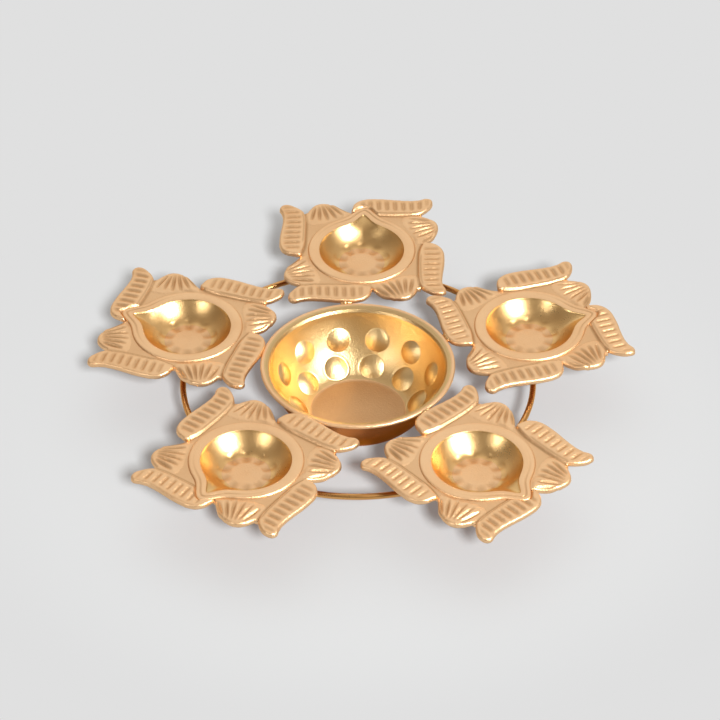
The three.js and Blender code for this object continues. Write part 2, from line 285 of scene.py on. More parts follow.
def neighbour_mean(values: np.ndarray, pairs: np.ndarray) -> np.ndarray:
    """Averages each point's neighbours.

    Args:
        values: A number for each point.
        pairs: The edges, as pairs of points.

    Returns:
        The mean over each point's neighbours, or 0 where it has none.
    """
    total, degree = np.zeros(len(values)), np.zeros(len(values))
    for first, second in ((0, 1), (1, 0)):
        np.add.at(total, pairs[:, first], values[pairs[:, second]])
        np.add.at(degree, pairs[:, first], 1.0)
    return total / np.maximum(degree, 1.0)


def thickened(obj: bpy.types.Object, sheet: float) -> bpy.types.Mesh:
    """Gives an object's skin the thickness of its sheet, on its under side.

    Args:
        obj: The object with the skin.
        sheet: Thickness in millimetres.

    Returns:
        The new mesh, its under side in the finish for undersides.
    """
    modifier = obj.modifiers.new("sheet", "SOLIDIFY")
    modifier.thickness = sheet * MM
    modifier.offset = -1.0
    modifier.use_rim = True
    modifier.thickness_clamp = 0.0
    modifier.material_offset = Surface.UNDERSIDE.value
    modifier.material_offset_rim = Surface.UNDERSIDE.value
    graph = bpy.context.evaluated_depsgraph_get()
    mesh = bpy.data.meshes.new_from_object(obj.evaluated_get(graph))
    obj.modifiers.clear()
    return mesh


def linked(name: str, data: bpy.types.ID) -> bpy.types.Object:
    """Adds an object to the scene.

    Args:
        name: The object's name.
        data: Its mesh, lamp or camera.

    Returns:
        The object.
    """
    obj = bpy.data.objects.new(name, data)
    bpy.context.scene.collection.objects.link(obj)
    return obj


def placed(name: str, mesh: bpy.types.Mesh, stands_for: str, place: Matrix | None = None) -> None:
    """Puts a finished mesh in the scene in the place of a CAD node.

    Args:
        name: The piece's name.
        mesh: Its mesh, with its materials.
        stands_for: The CAD node that it stands for.
        place: Where it goes in the row's frame, if not where its mesh lies.
    """
    obj = linked(name, mesh)
    if place is not None:
        obj.matrix_world = place
    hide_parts(stands_for)
    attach(obj, ROOT)
    LOG.info("%s: %d faces", name, len(mesh.polygons))


# Finishes


@dataclass(frozen=True)
class Graph:
    """The nodes of a material or a world."""

    tree: bpy.types.NodeTree

    def add(self, kind: str, output: str, inputs: Inputs | None = None, **settings: str) -> Socket:
        """Adds a node.

        Args:
            kind: The node's type, without ShaderNode before it.
            output: Name of the output that is used.
            inputs: For each input that is set, its value or the output that feeds it.
            settings: The node's own settings, such as its operation.

        Returns:
            The output.
        """
        node = self.tree.nodes.new(f"ShaderNode{kind}")
        for name, value in settings.items():
            setattr(node, name, value)
        self.feed(node, inputs or {})
        return node.outputs[output]

    def feed(self, node: bpy.types.Node, inputs: Inputs) -> None:
        """Sets a node's inputs.

        Args:
            node: The node.
            inputs: For each input that is set, its value or the output that feeds it.
        """
        for name, value in inputs.items():
            if isinstance(value, Socket):
                self.tree.links.new(value, node.inputs[name])
            else:
                node.inputs[name].default_value = value


@dataclass(frozen=True)
class Noise:
    """Noise that is fixed to the row's frame."""

    per_metre: float
    octaves: float
    fineness: float

    def add(self, graph: Graph, place: Socket) -> Socket:
        """Adds the noise to a material.

        Args:
            graph: The material's nodes.
            place: The position.

        Returns:
            The noise's factor.
        """
        inputs = {"Scale": self.per_metre, "Detail": self.octaves, "Roughness": self.fineness}
        return graph.add("TexNoise", "Fac", {"Vector": place, **inputs})


@dataclass(frozen=True)
class PlatedFinish:
    """Gold-coloured plating over sheet metal: its colours, gloss and grain, and the browner tint of its
    painted shade.
    """

    name: str
    colour: Triple
    # The next colour is the browner tint laid on as painted shade.
    painted_shade_colour: Triple
    cloud_colour: Triple
    edge_colour: Triple
    roughness: Point
    grain_size: float
    grain_depth: float
    wave_depth: float = 0.0
    painted_shade_share: float = 0.8
    clouds: Noise = Noise(38.0, 4.0, 0.55)
    cloud_spread: Point = (0.38, 0.66)
    gloss_spread: Point = (0.7, 1.3)
    waves: Noise = Noise(110.0, 2.0, 0.4)

    def material(self) -> bpy.types.Material:
        """Builds the finish as a node material, or finds the one built before.

        Returns:
            The material.
        """
        found = bpy.data.materials.get(self.name)
        if found:
            return found
        material = bpy.data.materials.new(self.name)
        material.use_nodes = True
        graph = Graph(material.node_tree)
        place = graph.add("NewGeometry", "Position")
        clouds = self.clouds.add(graph, place)
        specks = Noise(1.0 / MM / self.grain_size, 2.0, 0.6).add(graph, place)
        inputs = {
            "Metallic": 1.0,
            "Specular Tint": (*self.edge_colour, 1.0),
            "Base Color": self._tint(graph, clouds),
            "Roughness": self._gloss(graph, clouds, specks),
            "Normal": self._relief(graph, place, specks),
        }
        graph.feed(material.node_tree.nodes["Principled BSDF"], inputs)
        return material

    def _tint(self, graph: Graph, clouds: Socket) -> Socket:
        """Colours the plating: clouded, and browner where painted shade is laid on.

        Args:
            graph: The material's nodes.
            clouds: Slow noise.

        Returns:
            The colour.
        """
        low, high = self.cloud_spread
        spread = graph.add("MapRange", "Result", {"Value": clouds, "From Min": low, "From Max": high})
        clear, cloudy, painted_shade_tint = ((*c, 1.0) for c in (self.colour, self.cloud_colour, self.painted_shade_colour))
        tint = graph.add("Mix", "Result", {"Factor": spread, "A": clear, "B": cloudy}, data_type="RGBA")
        # Painted shade: the point attribute mixes the colour towards the browner tint in grooves, creases
        # and low parts.
        painted_shade = graph.add("Attribute", "Fac", attribute_name="painted_shade")
        depth = graph.add("Math", "Value", {0: painted_shade, 1: self.painted_shade_share}, operation="MULTIPLY")
        return graph.add("Mix", "Result", {"Factor": depth, "A": tint, "B": painted_shade_tint}, data_type="RGBA")

    def _gloss(self, graph: Graph, clouds: Socket, specks: Socket) -> Socket:
        """Spreads the roughness between its two limits, clouded and speckled.

        Args:
            graph: The material's nodes.
            clouds: Slow noise.
            specks: Fine noise.

        Returns:
            The roughness.
        """
        both = graph.add("Math", "Value", {0: clouds, 1: specks}, operation="ADD")
        limits = zip(("From Min", "From Max", "To Min", "To Max"), (*self.gloss_spread, *self.roughness))
        return graph.add("MapRange", "Result", {"Value": both, **dict(limits)})

    def _relief(self, graph: Graph, place: Socket, specks: Socket) -> Socket:
        """Adds the plating's fine grain, over the slow waves of hand-finished sheet.

        Args:
            graph: The material's nodes.
            place: The position.
            specks: Fine noise.

        Returns:
            The bumped normal.
        """
        grain = {"Distance": self.grain_depth * MM, "Height": specks}
        if self.wave_depth > 0.0:
            waves = {"Distance": self.wave_depth * MM, "Height": self.waves.add(graph, place)}
            grain["Normal"] = graph.add("Bump", "Normal", waves)
        return graph.add("Bump", "Normal", grain)


@dataclass(frozen=True)
class Finishes:
    """The finishes of the urli, from the brightest plating to the weld metal."""

    satin: PlatedFinish = PlatedFinish(
        "satin_gold",
        colour=(0.91, 0.605, 0.34),
        painted_shade_colour=(0.50, 0.29, 0.135),
        cloud_colour=(0.87, 0.565, 0.31),
        edge_colour=(1.0, 0.84, 0.62),
        roughness=(0.39, 0.51),
        grain_size=1.1,
        grain_depth=0.21,
        wave_depth=0.14,
    )
    cup: PlatedFinish = PlatedFinish(
        "polished_gold",
        colour=(0.84, 0.56, 0.25),
        painted_shade_colour=(0.70, 0.42, 0.17),
        cloud_colour=(0.80, 0.52, 0.225),
        edge_colour=(1.0, 0.82, 0.55),
        roughness=(0.27, 0.36),
        grain_size=0.8,
        grain_depth=0.08,
        wave_depth=0.03,
    )
    bowl: PlatedFinish = PlatedFinish(
        "bowl_gold",
        colour=(0.775, 0.565, 0.285),
        painted_shade_colour=(0.58, 0.37, 0.16),
        cloud_colour=(0.735, 0.525, 0.255),
        edge_colour=(1.0, 0.84, 0.55),
        roughness=(0.31, 0.40),
        grain_size=0.85,
        grain_depth=0.16,
        wave_depth=0.03,
    )
    # The bowl's outside and the sheets' undersides: a reddish-brown plating tone, darkened further as
    # painted shade for the dim floor that these faces mirror.
    copper_and_shade: PlatedFinish = PlatedFinish(
        "copper_brown_and_shade",
        colour=(0.66, 0.28, 0.12),
        painted_shade_colour=(0.40, 0.14, 0.045),
        cloud_colour=(0.58, 0.21, 0.07),
        edge_colour=(0.80, 0.45, 0.22),
        roughness=(0.26, 0.38),
        grain_size=0.6,
        grain_depth=0.012,
    )
    wire: PlatedFinish = PlatedFinish(
        "ring_bronze",
        colour=(0.74, 0.41, 0.15),
        painted_shade_colour=(0.40, 0.19, 0.07),
        cloud_colour=(0.64, 0.33, 0.11),
        edge_colour=(1.0, 0.70, 0.40),
        roughness=(0.24, 0.36),
        grain_size=0.6,
        grain_depth=0.015,
        wave_depth=0.05,
    )
    weld: PlatedFinish = PlatedFinish(
        "weld_gold",
        colour=(0.80, 0.52, 0.26),
        painted_shade_colour=(0.42, 0.22, 0.10),
        cloud_colour=(0.66, 0.40, 0.18),
        edge_colour=(1.0, 0.75, 0.45),
        roughness=(0.22, 0.40),
        grain_size=0.8,
        grain_depth=0.05,
        wave_depth=0.15,
    )


# The lamp dishes


@dataclass(frozen=True)
class Feather:
    """The ribbed petal that lies across a corner of the cup, its blunt end beside the spout."""

    blunt_end: tuple[Point, ...] = ((-5.4, 36.0), (-5.3, 39.6), (-4.1, 43.5))
    outer_edge: tuple[Point, ...] = (
        (-1.1, 46.7), (2.8, 48.2), (6.5, 48.6), (14.0, 48.3), (20.2, 47.5), (26.0, 46.9),
        (31.0, 46.8), (35.1, 47.5), (38.6, 48.9), (41.2, 48.3), (42.6, 46.2),
    )
    inner_edge: tuple[Point, ...] = (
        (42.3, 42.5), (40.1, 38.7), (37.4, 35.7), (33.9, 33.6), (28.0, 32.8), (20.0, 32.7),
        (12.0, 32.9), (3.0, 33.4),
    )
    level: float = 0.9
    crown: float = 0.5
    rib_pitch: float = 4.9
    rib_start: float = 0.6
    rib_slant: float = 0.5
    rib_rise: float = 0.15
    rib_reach: Span = (-2.5, 2.0, 38.0, 41.5)
    rib_window: Span = (0.14, 0.36, 0.7, 0.95)
    groove_width: float = 1.15
    groove_depth: float = 0.9
    groove_shade: float = 0.75
    border_place: float = 1.5
    border_width: float = 0.42
    border_depth: float = 0.4
    border_shade: float = 0.7
    border_reach: Span = (4.0, 9.0, 32.0, 36.0)

    def outline(self) -> np.ndarray:
        """Gives the petal's outline, as an array of (x, y)."""
        return closed_curve((*self.blunt_end, *self.outer_edge, *self.inner_edge))

    def relief(self, x: np.ndarray, y: np.ndarray) -> Fields:
        """Shapes the petal's top.

        Args:
            x: Along the petal, from its blunt end.
            y: Across it, from the cup's axis.

        Returns:
            The top's height, and the painted shade laid in the grooves and along the border line.
        """
        edges = (np.array(sorted(edge)).T for edge in (self.inner_edge, self.outer_edge))
        low, high = (np.interp(x, *edge) for edge in edges)
        across = (y - low) / np.maximum(high - low, 1.0)
        phase = (x + self.rib_slant * (across - 0.5) - self.rib_start) / self.rib_pitch
        offset = self.rib_pitch * (phase - np.round(phase))
        window = plateau(across, self.rib_window) * plateau(x, self.rib_reach)
        groove = bell(offset, self.groove_width) * window
        crown = self.crown * np.sin(np.pi * np.clip(across, 0.0, 1.0))
        line = bell(y - low - self.border_place, self.border_width) * plateau(x, self.border_reach)
        top = self.level - self.crown + crown + self.rib_rise * window - self.groove_depth * groove
        # Painted shade: the grooves and the line by the border are coloured darker.
        shade_amount = self.groove_shade * groove + self.border_shade * line
        return top - self.border_depth * line, np.clip(shade_amount, 0.0, 1.0)


@dataclass(frozen=True)
class LotusPetal:
    """The broad petal between two feathers, with veins that run together at its tip."""

    edge: tuple[Point, ...] = (
        (28.6, 4.9), (35.4, 6.1), (39.1, 9.2), (42.7, 13.5), (44.8, 18.5), (45.5, 23.4), (44.0, 27.5),
        (40.4, 30.4), (36.0, 32.4), (31.0, 33.6), (24.8, 31.6), (24.7, 24.3), (28.2, 15.6),
    )
    level: float = -0.75
    dome: float = 1.0
    dome_run: Point = (-0.5, 7.0)
    meeting: Point = (52.5, 26.0)
    axis: float = 200.0
    vein_turns: tuple[float, ...] = (-29.0, -17.5, -6.0, 5.5, 17.0, 28.5)
    vein_reach: Point = (9.0, 25.5)
    vein_trim: Point = (0.09, -0.02)
    vein_taper: float = 0.55
    vein_width: float = 0.7
    vein_swell: float = 0.25
    vein_depth: float = 1.1

    def outline(self) -> np.ndarray:
        """Gives the petal's outline, as an array of (x, y)."""
        return closed_curve(self.edge)

    def relief(self, x: np.ndarray, y: np.ndarray, inside: np.ndarray) -> Fields:
        """Shapes the petal's top.

        Args:
            x: The points' x, in the quarter that holds the petal.
            y: Their y.
            inside: How far inside the outline they lie.

        Returns:
            The top's height, and how deep in a vein each point lies, which is also its painted shade.
        """
        height = self.level + self.dome * smoothstep(inside, *self.dome_run)
        along, aside = turned(x - self.meeting[0], y - self.meeting[1], -self.axis)
        ray = np.hypot(along, aside)
        bearing = np.degrees(np.arctan2(aside, along))
        depth = np.zeros_like(x)
        for turn in self.vein_turns:
            near, far = (end + trim * abs(turn) for end, trim in zip(self.vein_reach, self.vein_trim))
            share = np.clip((ray - near) / (far - near), 0.0, 1.0)
            lens = np.sin(np.pi * share) ** self.vein_taper
            offset = ray * np.radians(bearing - turn)
            depth = np.maximum(depth, bell(offset, self.vein_width + self.vein_swell * lens) * lens)
        # The vein depth doubles as painted shade in the veins.
        return height - self.vein_depth * depth, depth


@dataclass(frozen=True)
class Cup:
    """The round cup with a spout, and the raised band round its opening."""

    radius: float = 25.3
    reach: float = 34.8
    corner: float = 0.55
    corner_turns: tuple[float, ...] = (0.0, 22.5, 45.0, 67.5)
    polish_from: float = 30.0
    depth: float = 10.0
    floor_radius: float = 13.5
    wall_curve: float = 0.62
    # Painted shade on the cup's wall, growing with depth, and a little on its floor.
    wall_shade: float = 0.3
    floor_shade: float = 0.1
    spout_depth: float = 2.3
    spout_width: float = 9.3
    spout_power: float = 1.25
    spout_blunting: float = 1.3
    spout_bearing: float = 2.5
    band_radius: float = 31.4
    band_reach: float = 40.6
    band_width: float = 12.0
    band_power: float = 1.8
    band_blunting: float = 1.0
    band_level: float = -0.15
    band_round: float = 0.6
    band_turns: tuple[float, ...] = (25.0, 50.0, 75.0)
    band_fall: float = 0.25
    band_crown: float = 0.3
    band_drop: float = 0.28
    line_place: float = 0.45
    line_width: float = 0.08
    line_depth: float = 0.45
    line_shade: float = 0.7
    line_spread: float = 42.0
    # Rings at the band's foot: step out, height, and the painted shade in the crease there.
    foot_rings: tuple[Triple, ...] = ((0.7, -1.9, 0.6), (0.3, -1.0, 0.7), (0.1, -0.7, 0.5))
    flute_count: int = 10
    flute_start: float = 8.5
    flute_length: float = 8.7
    flute_taper: float = 0.7
    flute_width: float = 2.4
    flute_depth: float = 0.65
    flute_shade: float = 0.6
    flute_top: float = -3.0
    band_rings: int = 15
    wall_rings: int = 30
    floor_rings: int = 15
    sides: int = 232
    evenness: float = 0.55

    def opening(self, bearing: np.ndarray) -> np.ndarray:
        """Gives the opening's radius at degrees from the spout, drawn out to the spout's point."""
        share = np.hypot(bearing, self.spout_blunting) / self.spout_width
        return self.radius + (self.reach - self.radius) * np.exp(-(share**self.spout_power))

    def band_edge(self, bearing: np.ndarray) -> np.ndarray:
        """Gives the band's outer radius at degrees from the spout, drawn out round the spout."""
        share = np.hypot(bearing, self.band_blunting) / self.band_width
        return self.band_radius + (self.band_reach - self.band_radius) * np.exp(-(share**self.band_power))

    def bearings(self) -> np.ndarray:
        """Gives the loft's bearings, in degrees, closer together at the spout."""
        share = np.linspace(-1.0, 1.0, self.sides, endpoint=False)
        return 180.0 * (self.evenness * share + (1.0 - self.evenness) * share**3)

    def wall_radius(self, depth: float) -> float:
        """Gives the wall's radius at a depth under the opening."""
        left = max(1.0 - depth / self.depth, 0.0)
        return self.floor_radius + (self.radius - self.corner - self.floor_radius) * left**self.wall_curve

    def shell(self) -> Shell:
        """Lofts the band, the wall with its spout, and the fluted floor.

        Returns:
            The skin, facing up.
        """
        bearing = self.bearings()
        outer, inner = self.band_edge(bearing), self.opening(bearing)
        near_spout = bell(bearing, self.line_spread)
        flat = np.zeros_like(bearing)
        rise = self.band_level
        rows: list[tuple[np.ndarray, np.ndarray, np.ndarray, Surface]] = []
        for out, height, shade_amount in self.foot_rings:
            rows.append((outer + out, flat + height, flat + shade_amount, Surface.SATIN))
        for turn in np.radians(self.band_turns):
            drop = self.band_round * (1.0 - math.sin(turn))
            inset = self.band_round * (1.0 - math.cos(turn))
            rows.append((outer - inset, flat + rise - drop, flat, Surface.SATIN))
        for share in np.linspace(0.12, 0.93, self.band_rings):
            # Painted shade along the pressed line beside the spout.
            line = bell(share - self.line_place, self.line_width) * near_spout
            sag = self.band_fall * share - self.band_crown * math.sin(math.pi * share)
            height = flat + rise - sag - self.line_depth * line
            rows.append((outer + (inner - outer) * share, height, self.line_shade * line, Surface.SATIN))
        for turn in self.corner_turns:
            drop = self.band_drop + self.corner * (1.0 - math.cos(math.radians(turn)))
            inset = self.corner * math.sin(math.radians(turn))
            kind = Surface.SATIN if turn < self.polish_from else Surface.POLISHED
            rows.append((inner - inset, flat + rise - drop, flat, kind))
        lip = rise - self.band_drop - self.corner
        for share in np.linspace(0.02, 1.0, self.wall_rings):
            sunk = (self.depth + lip) * share
            keel = (inner - self.radius) * math.exp(-sunk / self.spout_depth)
            radius = self.wall_radius(self.depth * share) + keel
            rows.append((radius, flat + lip - sunk, flat + self.wall_shade * share, Surface.POLISHED))
        for share in np.linspace(0.06, 0.96, self.floor_rings):
            radius = flat + self.floor_radius * (1.0 - share)
            rows.append((radius, flat - self.depth, flat + self.floor_shade, Surface.SATIN))
        angle = np.radians(90.0 - self.spout_bearing + bearing)
        rings = [np.column_stack([r * np.cos(angle), r * np.sin(angle), z]) for r, z, _, _ in rows]
        shell = lofted(rings, [row[3] for row in rows[1:]], [row[2] for row in rows])
        self._press_flutes(shell)
        return shell

    def _press_flutes(self, shell: Shell) -> None:
        """Presses the flutes into the corner between wall and floor, and lays painted shade in them.

        Args:
            shell: The cup's skin, whose points are moved.
        """
        x, y, z = shell.points.T
        radius = np.hypot(x, y)
        bearing = np.degrees(np.arctan2(x, y))
        pitch = 360.0 / self.flute_count
        offset = radius * np.radians((bearing + pitch / 2) % pitch - pitch / 2)
        share = np.clip((radius - self.flute_start) / self.flute_length, 0.0, 1.0)
        lens = np.sin(np.pi * share) ** self.flute_taper
        pressed = bell(offset, self.flute_width) * lens * (z < self.flute_top)
        shell.points[:, 2] -= self.flute_depth * pressed
        shell.painted_shade[:] = np.clip(shell.painted_shade + self.flute_shade * pressed, 0.0, 1.0)


@dataclass(frozen=True)
class LampDish:
    """One lamp dish, pressed from a single sheet: cup, web and two rings of petals."""

    cup: Cup = Cup()
    feather: Feather = Feather()
    lotus: LotusPetal = LotusPetal()
    sheet: float = 0.9
    blank_half: float = 53.0
    grid: float = 0.44
    snap_share: float = 0.62
    move_share: float = 0.7
    least_slope: float = 0.2
    relaxed_rows: int = 2
    relaxed_rounds: int = 8
    smoothed_rounds: int = 4
    fillet: float = 1.4
    edge_round: float = 1.35
    edge_turns: tuple[float, ...] = (15.0, 30.0, 45.0, 60.0, 75.0, 90.0)
    skirt: float = 2.6
    skirt_flare: float = 0.1
    skirt_shade: float = 0.15
    web_half: float = 36.4
    web_corner: float = 33.6
    web_level: float = -1.0
    # Painted shade on the low web between the petals.
    web_shade: float = 0.35
    band_lap: float = 1.0
    lotus_step: Point = (-0.2, 0.9)
    lotus_root: Point = (1.2, 4.2)
    feather_step: Point = (-0.3, 1.3)
    feather_root: Point = (0.9, 2.8)
    # Painted shade along the seam where a feather meets the web.
    seam_place: float = -0.3
    seam_width: float = 0.6
    seam_reach: float = 0.9
    seam_shade: float = 0.8

    def web_outline(self) -> np.ndarray:
        """Gives the outline of the sheet between the petals and the cup."""
        half, cut = self.web_half, self.web_corner
        corners = [(half, -cut), (half, cut), (cut, half), (-cut, half)]
        corners += [(-half, cut), (-half, -cut), (-cut, -half), (cut, -half)]
        return np.array(corners)

    def petal_distances(self, x: np.ndarray, y: np.ndarray) -> tuple[list[np.ndarray], list[np.ndarray]]:
        """Measures how far points lie inside each petal.

        Args:
            x: The points' x.
            y: Their y.

        Returns:
            The inside distances of the feathers and of the lotus petals.
        """
        feather, lotus = self.feather.outline(), self.lotus.outline()
        turns = [turned(x, y, -90.0 * i) for i in range(4)]
        feathers = [inside_distance(feather, u, v) for u, v in turns]
        lotuses = [inside_distance(lotus, u, v) for u, v in turns]
        return feathers, lotuses

    def inside(self, x: np.ndarray, y: np.ndarray) -> np.ndarray:
        """Measures how far points lie inside the dish's whole outline.

        Args:
            x: The points' x.
            y: Their y.

        Returns:
            The inside distance.
        """
        feathers, lotuses = self.petal_distances(x, y)
        whole = inside_distance(self.web_outline(), x, y)
        for distance in (*lotuses, *feathers):
            whole = soft_union(whole, distance, self.fillet)
        return whole

    def beyond_band(self, x: np.ndarray, y: np.ndarray) -> np.ndarray:
        """Measures how far points lie outside the hole that the band covers.

        Args:
            x: The points' x.
            y: Their y.

        Returns:
            The distance, below 0 in the hole.
        """
        bearing = np.degrees(np.arctan2(x, y)) - self.cup.spout_bearing
        edge = self.cup.band_edge((bearing + 180.0) % 360.0 - 180.0)
        return np.hypot(x, y) - (edge - self.band_lap)

    def relief(self, x: np.ndarray, y: np.ndarray) -> Fields:
        """Shapes the pressed sheet outside the band.

        Args:
            x: The points' x.
            y: Their y.

        Returns:
            The sheet's height, and how deep in a hollow each point lies.
        """
        feathers, lotuses = self.petal_distances(x, y)
        height = np.full(x.shape, self.web_level)
        shade_amount = np.full(x.shape, self.web_shade)
        beyond = self.beyond_band(x, y)
        root = smoothstep(beyond, *self.lotus_root)
        low, _ = self.lotus_step
        for i, inside in enumerate(lotuses):
            top, depth = self.lotus.relief(*turned(x, y, -90.0 * i), inside)
            step = smoothstep(inside, *self.lotus_step) * root
            shade_amount = np.where(inside > -low, depth * root + self.web_shade * (1.0 - root), shade_amount)
            height = np.where(inside > low, self.web_level + step * (top - self.web_level), height)
        root = smoothstep(beyond, *self.feather_root)
        for i, inside in enumerate(feathers):
            top, depth = self.feather.relief(*turned(x, y, -90.0 * i))
            step = smoothstep(inside, *self.feather_step) * root
            height = height + step * (top - height)
            shade_amount = shade_amount + step * (depth - shade_amount)
            # Painted shade along the seam at the feather's edge.
            seam = bell(inside - self.seam_place, self.seam_width) * (inside < self.seam_reach)
            shade_amount = np.clip(shade_amount + self.seam_shade * seam, 0.0, 1.0)
        return height, shade_amount

    def sheet_shell(self) -> Shell:
        """Cuts the pressed sheet from a fine grid and turns its edge down.

        Returns:
            The skin outside the band, facing up, with its skirt.
        """
        line = np.arange(-self.blank_half, self.blank_half + self.grid, self.grid)
        x, y = (values.ravel() for values in np.meshgrid(line, line))
        x, y, kept = self._snapped(x, y)
        side = len(line)
        kept = kept.reshape(side, side)
        index = np.arange(side * side).reshape(side, side)
        corners, inside = ([g[:-1, :-1], g[:-1, 1:], g[1:, 1:], g[1:, :-1]] for g in (index, kept))
        total = sum(values.astype(int) for values in inside)
        whole = total == 4
        quads = np.column_stack([values[whole] for values in corners])
        faces: list[Face] = [tuple(row) for row in quads.tolist()]
        for row, column in np.argwhere(total == 3):
            faces.append(tuple(int(c[row, column]) for c, k in zip(corners, inside) if k[row, column]))
        used = np.unique([i for face in faces for i in face])
        renumber = {old: new for new, old in enumerate(used.tolist())}
        faces = [tuple(renumber[i] for i in face) for face in faces]
        x, y = self._relaxed(x[used], y[used], faces)
        height, shade_amount = self.relief(x, y)
        shell = Shell(np.column_stack([x, y, height]), faces, [Surface.SATIN] * len(faces), shade_amount)
        return self._with_skirt(shell)

    def _field(self, x: np.ndarray, y: np.ndarray) -> np.ndarray:
        """Gives a field that is above 0 where the flat of the sheet lies."""
        return np.minimum(self.inside(x, y) - self.edge_round, self.beyond_band(x, y))

    def _snapped(self, x: np.ndarray, y: np.ndarray) -> tuple[np.ndarray, ...]:
        """Moves the grid's points next to the sheet's edge onto it.

        Args:
            x: The grid's x.
            y: Its y.

        Returns:
            The moved x and y, and which points lie on the sheet.
        """
        field = self._field(x, y)
        near = np.abs(field) < self.snap_share * self.grid
        for _ in range(2):
            x[near], y[near] = self._onto_edge(x[near], y[near])
        return x, y, near | (field > 0.0)

    def _onto_edge(self, x: np.ndarray, y: np.ndarray) -> Fields:
        """Moves points towards the edge of the flat of the sheet.

        Args:
            x: The points' x.
            y: Their y.

        Returns:
            The moved x and y.
        """
        step = 0.05
        slope_x = (self._field(x + step, y) - self._field(x - step, y)) / (2 * step)
        slope_y = (self._field(x, y + step) - self._field(x, y - step)) / (2 * step)
        move = self._field(x, y) / np.maximum(slope_x**2 + slope_y**2, self.least_slope)
        limit = self.move_share * self.grid
        return x - np.clip(move * slope_x, -limit, limit), y - np.clip(move * slope_y, -limit, limit)

    def _relaxed(self, x: np.ndarray, y: np.ndarray, faces: Sequence[Face]) -> Fields:
        """Evens out the points at the sheet's edge and just inside it.

        Args:
            x: The sheet's points' x.
            y: Their y.
            faces: The sheet's faces.

        Returns:
            The moved x and y.
        """
        border = open_edges(faces)
        rim = np.unique(border)
        sides = {(min(a, b), max(a, b)) for face in faces for a, b in zip(face, face[1:] + face[:1])}
        pairs = np.array(sorted(sides))
        near = np.zeros(len(x), bool)
        near[rim] = True
        for _ in range(self.relaxed_rows):
            near[pairs[near[pairs].any(axis=1)]] = True
        near[rim] = False
        for _ in range(self.relaxed_rounds):
            x = np.where(near, 0.5 * (x + neighbour_mean(x, pairs)), x)
            y = np.where(near, 0.5 * (y + neighbour_mean(y, pairs)), y)
            px = 0.5 * (x + neighbour_mean(x, border))[rim]
            py = 0.5 * (y + neighbour_mean(y, border))[rim]
            x[rim], y[rim] = self._onto_edge(*self._onto_edge(px, py))
        return x, y

    def _with_skirt(self, shell: Shell) -> Shell:
        """Rounds the sheet's outer edge over and turns it down.

        Args:
            shell: The flat of the sheet.

        Returns:
            The sheet with its skirt.
        """
        x, y, _ = shell.points.T
        outside = self.beyond_band(x, y) > self.band_lap
        edges = open_edges(shell.faces)
        edges = edges[outside[edges].all(axis=1)]
        rim = np.unique(edges)
        along = np.searchsorted(rim, edges)
        px, py, pz = shell.points[rim].T
        step = 0.3
        nx = self.inside(px - step, py) - self.inside(px + step, py)
        ny = self.inside(px, py - step) - self.inside(px, py + step)
        for _ in range(self.smoothed_rounds):
            size = np.maximum(np.hypot(nx, ny), 1e-6)
            nx, ny = nx / size, ny / size
            nx, ny = 0.5 * (nx + neighbour_mean(nx, along)), 0.5 * (ny + neighbour_mean(ny, along))
        # Painted shade: it fades from the top's shade round the edge, and grows down the turned-down skirt.
        rings = [shell.points[rim]]
        shade_amounts = [shell.painted_shade[rim]]
        for turn in self.edge_turns:
            out = self.edge_round * math.sin(math.radians(turn))
            drop = self.edge_round * (1.0 - math.cos(math.radians(turn)))
            rings.append(np.column_stack([px + nx * out, py + ny * out, pz - drop]))
            shade_amounts.append(shade_amounts[0] * (1.0 - turn / 90.0))
        low = rings[-1]
        for share in (0.33, 0.66, 1.0):
            height = low[:, 2] - (self.skirt - self.edge_round) * share
            flare = self.skirt_flare * share
            rings.append(np.column_stack([low[:, 0] + nx * flare, low[:, 1] + ny * flare, height]))
            shade_amounts.append(np.full(len(rim), self.skirt_shade * share))
        base, count = len(shell.points), len(rim)
        numbers = [rim, *(base + level * count + np.arange(count) for level in range(len(rings) - 1))]
        faces = list(shell.faces)
        for upper, lower in zip(numbers, numbers[1:]):
            faces += [(int(upper[b]), int(upper[a]), int(lower[a]), int(lower[b])) for a, b in along]
        points = np.vstack([shell.points, *rings[1:]])
        painted_shade = np.concatenate([shell.painted_shade, *shade_amounts[1:]])
        return Shell(points, faces, [Surface.SATIN] * len(faces), painted_shade)

    def mesh(self, finishes: Finishes) -> bpy.types.Mesh:
        """Makes the mesh that the five dishes share.

        Args:
            finishes: The urli's finishes.

        Returns:
            The mesh, its origin on the cup's axis at the petals' tops.
        """
        shell = self.sheet_shell().joined(self.cup.shell())
        skin = linked("dish_skin", shell.mesh("dish_skin"))
        for finish in (finishes.satin, finishes.cup, finishes.copper_and_shade, finishes.copper_and_shade):
            skin.data.materials.append(finish.material())
        mesh = thickened(skin, self.sheet)
        mesh.name = "lamp_dish"
        bpy.data.objects.remove(skin)
        return mesh


